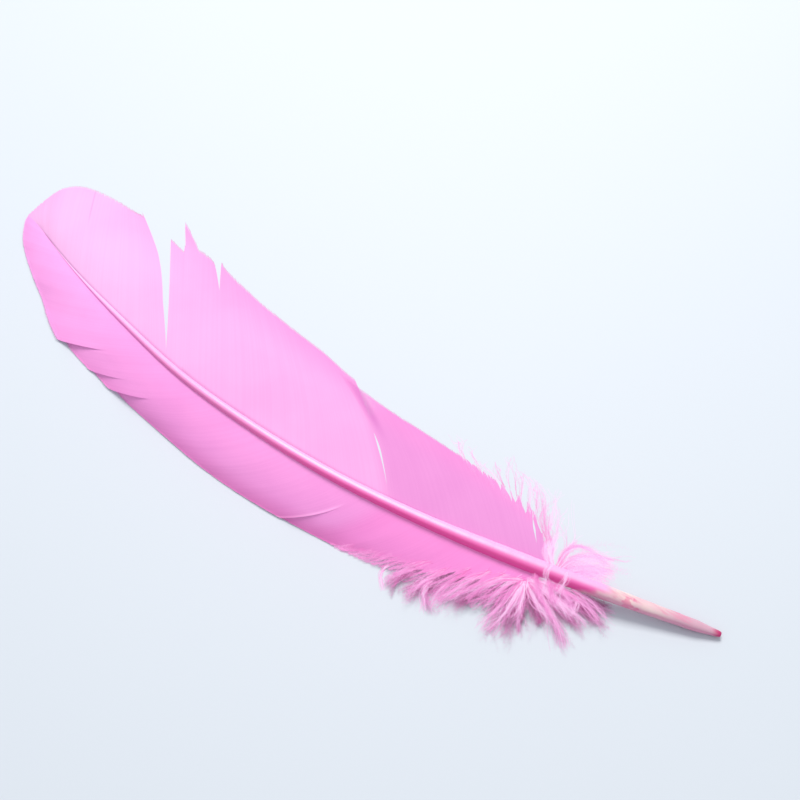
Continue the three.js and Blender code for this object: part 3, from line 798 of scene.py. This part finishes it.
def lock_paths(strands, spread, root, middle, end):
    """Quadratic curves (1-t)^2 R + 2t(1-t) C + t^2 E, with C = 2M - (R + E) / 2 so that each
    passes through M at its middle. R, M and E are scattered, E the most and every third strand
    less than the rest. The whole lock bends aside by a random share of HOOK, growing with t^3,
    and a sine wave of each strand's own, growing with t^1.6, curls the ends."""
    close = np.where(np.arange(strands) % 3 == 0, 0.35, 1.0)[:, None]
    scatter = lambda size: rng.standard_normal((strands, 3)) * size * [1, 1, 0.5] * close
    r = root + scatter(0.6)
    m = middle + scatter(0.6 * spread)
    e = end + scatter(spread)
    c = 2 * m - (r + e) / 2
    t = np.linspace(0, 1, STRAND_STEPS)[None, :, None]
    paths = (1 - t) ** 2 * r[:, None] + 2 * t * (1 - t) * c[:, None] + t**2 * e[:, None]
    sideways = unit(np.cross(e - r, [0, 0, 1]))[:, None]
    shape = (strands, 1, 1)
    phase, turns = rng.uniform(0, 6.28, shape), rng.uniform(0.8, 1.9, shape)
    size = rng.uniform(0.6, 2.2, shape)
    length = np.linalg.norm(end - root)
    wave = size * min(1, length / FULL_CURL) * t**1.6 * close[..., None]
    hook = rng.uniform(-1, 1) * HOOK * length * t**3
    paths = paths + (hook + wave * np.sin(2 * np.pi * turns * t + phase)) * sideways
    paths[..., 2:] += 0.6 * wave * np.cos(2 * np.pi * turns * t + phase)
    paths[..., 2] = np.maximum(paths[..., 2], 0.25)
    return paths


def strand_frames(paths):
    """Direction, sideways and upward unit vectors at every step."""
    along = unit(np.gradient(paths, axis=1))
    across = unit(np.cross([0, 0, 1], along))
    return along, across, np.cross(along, across)


# %% [markdown]
# A barbule is far too fine for a tube. A long thin tetrahedron has four faces, tapers to a point
# and is closed, so tens of thousands of them stay within reach.

# %% Barbules
def barbule_spikes(paths, length, pairs, start=0.08, thickness=0.022):
    """Long thin tetrahedra, two rows along every strand. Barbule b sits at share s of the strand
    and points along * cos(a) + out * sin(a), a being 35 to 75 degrees; its length is the given
    one times (4 s (1 - s)) ^ 0.4 times a random 0.6 to 1.15."""
    count, steps = paths.shape[:2]
    along, across, up = strand_frames(paths)
    s = np.linspace(start, 0.99, pairs)
    place = s * (steps - 1)
    i = np.minimum(place.astype(int), steps - 2)
    f = (place - i)[None, :, None]
    at = lambda block: block[:, i] * (1 - f) + block[:, i + 1] * f
    shape = (2, count, pairs, 1)
    side = np.array([1.0, -1.0]).reshape(2, 1, 1, 1)
    lift = rng.uniform(-0.9, 0.9, shape)
    out = side * np.cos(lift) * at(across) + np.sin(lift) * at(up)
    lean = np.radians(rng.uniform(35, 75, shape))
    direction = np.cos(lean) * at(along) + np.sin(lean) * out
    reach = length[None, :, None, None] * (4 * s * (1 - s))[None, None, :, None] ** 0.4
    foot = np.broadcast_to(at(paths), direction.shape)
    tip = foot + direction * reach * rng.uniform(0.6, 1.15, shape)
    first = unit(np.cross(direction, at(up)))
    second = np.cross(direction, first)
    turn = 2 * np.pi / 3
    ring = [foot + thickness * (np.cos(k * turn) * first + np.sin(k * turn) * second) for k in range(3)]
    points = np.stack([*ring, tip], -2)
    points[..., 2] = np.maximum(points[..., 2], 0.05)
    number = np.arange(points.size // 3).reshape(-1, 4)
    faces = np.concatenate([number[:, corners] for corners in ([0, 2, 1], [0, 1, 3], [1, 2, 3], [2, 0, 3])])
    outward = np.broadcast_to(np.linspace(0.3, 1, pairs)[None, None, :, None], (2, count, pairs, 4))
    return points.reshape(-1, 3), faces, outward


# %% Build the down
LIFT = 0.5  # how far most of the down is lifted, see make_piece


def build_down(name, paths, length, pale, pairs, half_width=None, start=0.08, sheer=True, lift=LIFT):
    """Stems as flat diamonds that thin from half_width[0] to half_width[1], with their barbules,
    as one piece. Without half_width there are only barbules."""
    points, triangles, outward = barbule_spikes(paths, length, pairs, start)
    faces, line = [triangles], np.full(len(points), -1)
    pale_here = np.broadcast_to(pale[None, :, None, None], outward.shape).ravel()
    outward = outward.ravel()
    if half_width is not None:
        _, across, up = strand_frames(paths)
        share = np.linspace(0, 1, paths.shape[1])
        half = (half_width[0] + (half_width[1] - half_width[0]) * share)[None, :, None]
        stems, quads, edge = diamonds(paths, across * half, up * np.minimum(half, 0.05))
        faces.append(quads + len(points))
        points, line = np.concatenate([points, stems]), np.concatenate([line, edge])
        steps = (len(paths), len(share), 4)
        outward = np.concatenate([outward, np.broadcast_to(share[None, :, None], steps).ravel()])
        pale_here = np.concatenate([pale_here, np.broadcast_to(pale[:, None, None], steps).ravel()])
    values = {"outward": outward, "pale": pale_here}
    return make_piece(name, points, faces, down_dye_and_painted_shade, values, line, sheer, lift)


def build_locks(
    name, locks, pairs, half_width, more=1, wider=1.0, longer=1.0, paler=0.0, low=1.0, sheer=True, lift=LIFT
):
    """All strands of a list of locks. more, wider, longer and low multiply their number, their
    spread, the length of their barbules and their height above the ground, and paler is added to
    their paleness."""
    strands = [lock_paths(more * lock[0], wider * lock[1], *np.array(lock[4:])) for lock in locks]
    paths = np.concatenate(strands)
    paths[..., 2] *= low
    length = longer * np.concatenate([np.full(more * lock[0], lock[2]) for lock in locks])
    pale = np.concatenate([np.full(more * lock[0], lock[3] + paler) for lock in locks])
    pale = np.clip(pale + 0.6 * rng.uniform(-1, 1, len(pale)), -1, 1)
    return build_down(name, paths, length, pale, pairs, half_width, sheer=sheer, lift=lift)


def build_rim_fluff(name, middle, limit, length, pairs):
    """Barbules on the free ends of vane barbs, from just inside the last hooks outwards."""
    first = np.clip(limit - 0.12, 0.1, 0.9)
    share = first[:, None] + (1 - first[:, None]) * np.linspace(0, 1, STRAND_STEPS)[None, :]
    place = share ** (1 / STEP_SPACING) * (BARB_STEPS - 1)
    i = np.minimum(place.astype(int), BARB_STEPS - 2)
    row = np.arange(len(middle))[:, None]
    f = (place - i)[..., None]
    paths = middle[row, i] * (1 - f) + middle[row, i + 1] * f
    pale = rng.uniform(0.0, 0.5, len(paths))
    return build_down(name, paths, np.full(len(paths), length), pale, pairs, start=0.02)


# %% [markdown]
# Real down has more barbules than can be made one by one. So the thick locks are made again as
# veils. Beside the clear strands with stems, a veil has barbules only, which are longer and
# spread wider. The veils of the fan and the brushes lie low and cast the soft shadow, and their
# deep colour is painted shade between the strands.

# %% The down, piece by piece
build_locks(
    "down_veil", FAN + BRUSHES[:5], 44, None,
    more=2, wider=1.7, longer=1.6, paler=-0.9, low=0.5, sheer=False, lift=0.3,
)
build_locks("tuft_veil", TUFT[:4], 44, None, more=2, wider=1.8, longer=1.6, paler=-0.1, lift=0.7)
build_locks("down_fan", FAN, 50, (0.07, 0.02), more=2, longer=0.6)
build_locks("down_tuft", TUFT, 60, (0.05, 0.02), more=2, longer=0.6, lift=0.7)
build_locks("down_brushes", BRUSHES, 50, (0.05, 0.02), more=3, wider=1.4, longer=0.6)
build_locks("loose_hairs", HAIRS, 40, (0.03, 0.015), more=2, wider=1.3)
build_rim_fluff("narrow_rim_fluff", *narrow_free, 2.0, 80)
build_rim_fluff("broad_rim_fluff", *broad_free, 1.2, 44)
build_locks(
    "brush_veil", BRUSHES[:6], 44, None,
    more=3, wider=1.8, longer=1.7, paler=-0.3, low=0.5, sheer=False,
)

# %% [markdown]
# ## Floor and light
# A pale floor, and one soft lamp high on the broad vane's side. The lamp is slightly warm and the
# sky slightly cool, so shadows come out a little blue. The sky is even and fills them, and the
# plain view transform keeps the dye as bright as it is in daylight.

# %% Floor
FLOOR_HALF, FLOOR_Z = 3.0, -0.0002
FLOOR_PAINT = (0.62, 0.67, 0.735, 1)
corners = [(x * FLOOR_HALF, y * FLOOR_HALF, FLOOR_Z) for x, y in ((-1, -1), (1, -1), (1, 1), (-1, 1))]
floor_mesh = bpy.data.meshes.new("floor")
floor_mesh.from_pydata(corners, [], [(0, 1, 2, 3)])
floor = bpy.data.objects.new("floor", floor_mesh)
bpy.context.scene.collection.objects.link(floor)
floor_paint = bpy.data.materials.new("floor_paint")
floor_paint.use_nodes = True
floor_shader = floor_paint.node_tree.nodes["Principled BSDF"]
floor_shader.inputs["Base Color"].default_value = FLOOR_PAINT
floor_shader.inputs["Roughness"].default_value = 0.6
floor_mesh.materials.append(floor_paint)
print("floor, m:", 2 * FLOOR_HALF, "square, at height", FLOOR_Z)

# %% Light
SKY_COLOUR = (0.95, 0.99, 1.03, 1)
SKY_STRENGTH = 0.66


def soft_lamp(name, place, power, size, colour):
    """A square lamp, size metres across, that faces the feather from place (X, Y, Z in metres)."""
    data = bpy.data.lights.new(name, "AREA")
    data.energy, data.size, data.color = power, size, colour
    lamp = bpy.data.objects.new(name, data)
    lamp.location = place
    lamp.rotation_euler = (-Vector(place)).to_track_quat("-Z", "Y").to_euler()
    bpy.context.scene.collection.objects.link(lamp)
    print(name, "lamp,", power, "W")


soft_lamp("key", (0.34, -0.62, 1.1), 13.9, 0.5, (1.0, 0.96, 0.92))
world = bpy.context.scene.world or bpy.data.worlds.new("sky")
bpy.context.scene.world = world
world.use_nodes = True
world.node_tree.nodes["Background"].inputs["Color"].default_value = SKY_COLOUR
world.node_tree.nodes["Background"].inputs["Strength"].default_value = SKY_STRENGTH
bpy.context.scene.view_settings.view_transform = "Standard"
